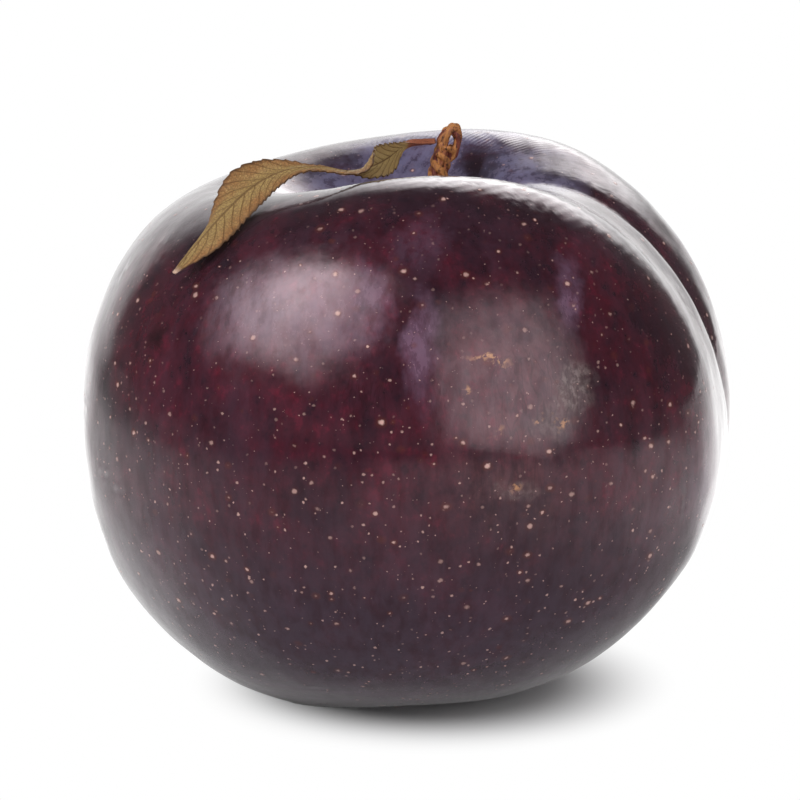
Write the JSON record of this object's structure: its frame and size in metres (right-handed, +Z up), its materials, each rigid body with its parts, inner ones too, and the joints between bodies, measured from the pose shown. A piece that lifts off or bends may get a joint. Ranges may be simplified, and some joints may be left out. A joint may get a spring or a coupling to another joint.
{
  "type": "plum",
  "caption": "Large dark dessert plum with its stem hollow, one-sided crease, short dried stem and one curled dried leaf, resting on a small flat spot.",
  "frame": {"origin": "centre of the small flat spot that the fruit rests on", "axes": "+Z up out of the resting spot, -Y towards the side that the leaf and the broad red cheek face, +X towards the crease"},
  "size_m": [0.0662, 0.064, 0.0579],
  "materials": {
    "plum_skin": "waxy dark red to purple-black fruit skin with a thin bluish bloom and small pale pores",
    "dried_stem": "dry, fibrous, twisted, matt",
    "dried_leaf": "dry, thin, curled, golden to olive brown with fine veins, matt"
  },
  "bodies": {
    "root": {"fruit": "plum_skin", "stem": "dried_stem", "leaf": "dried_leaf"}
  },
  "joints": []
}
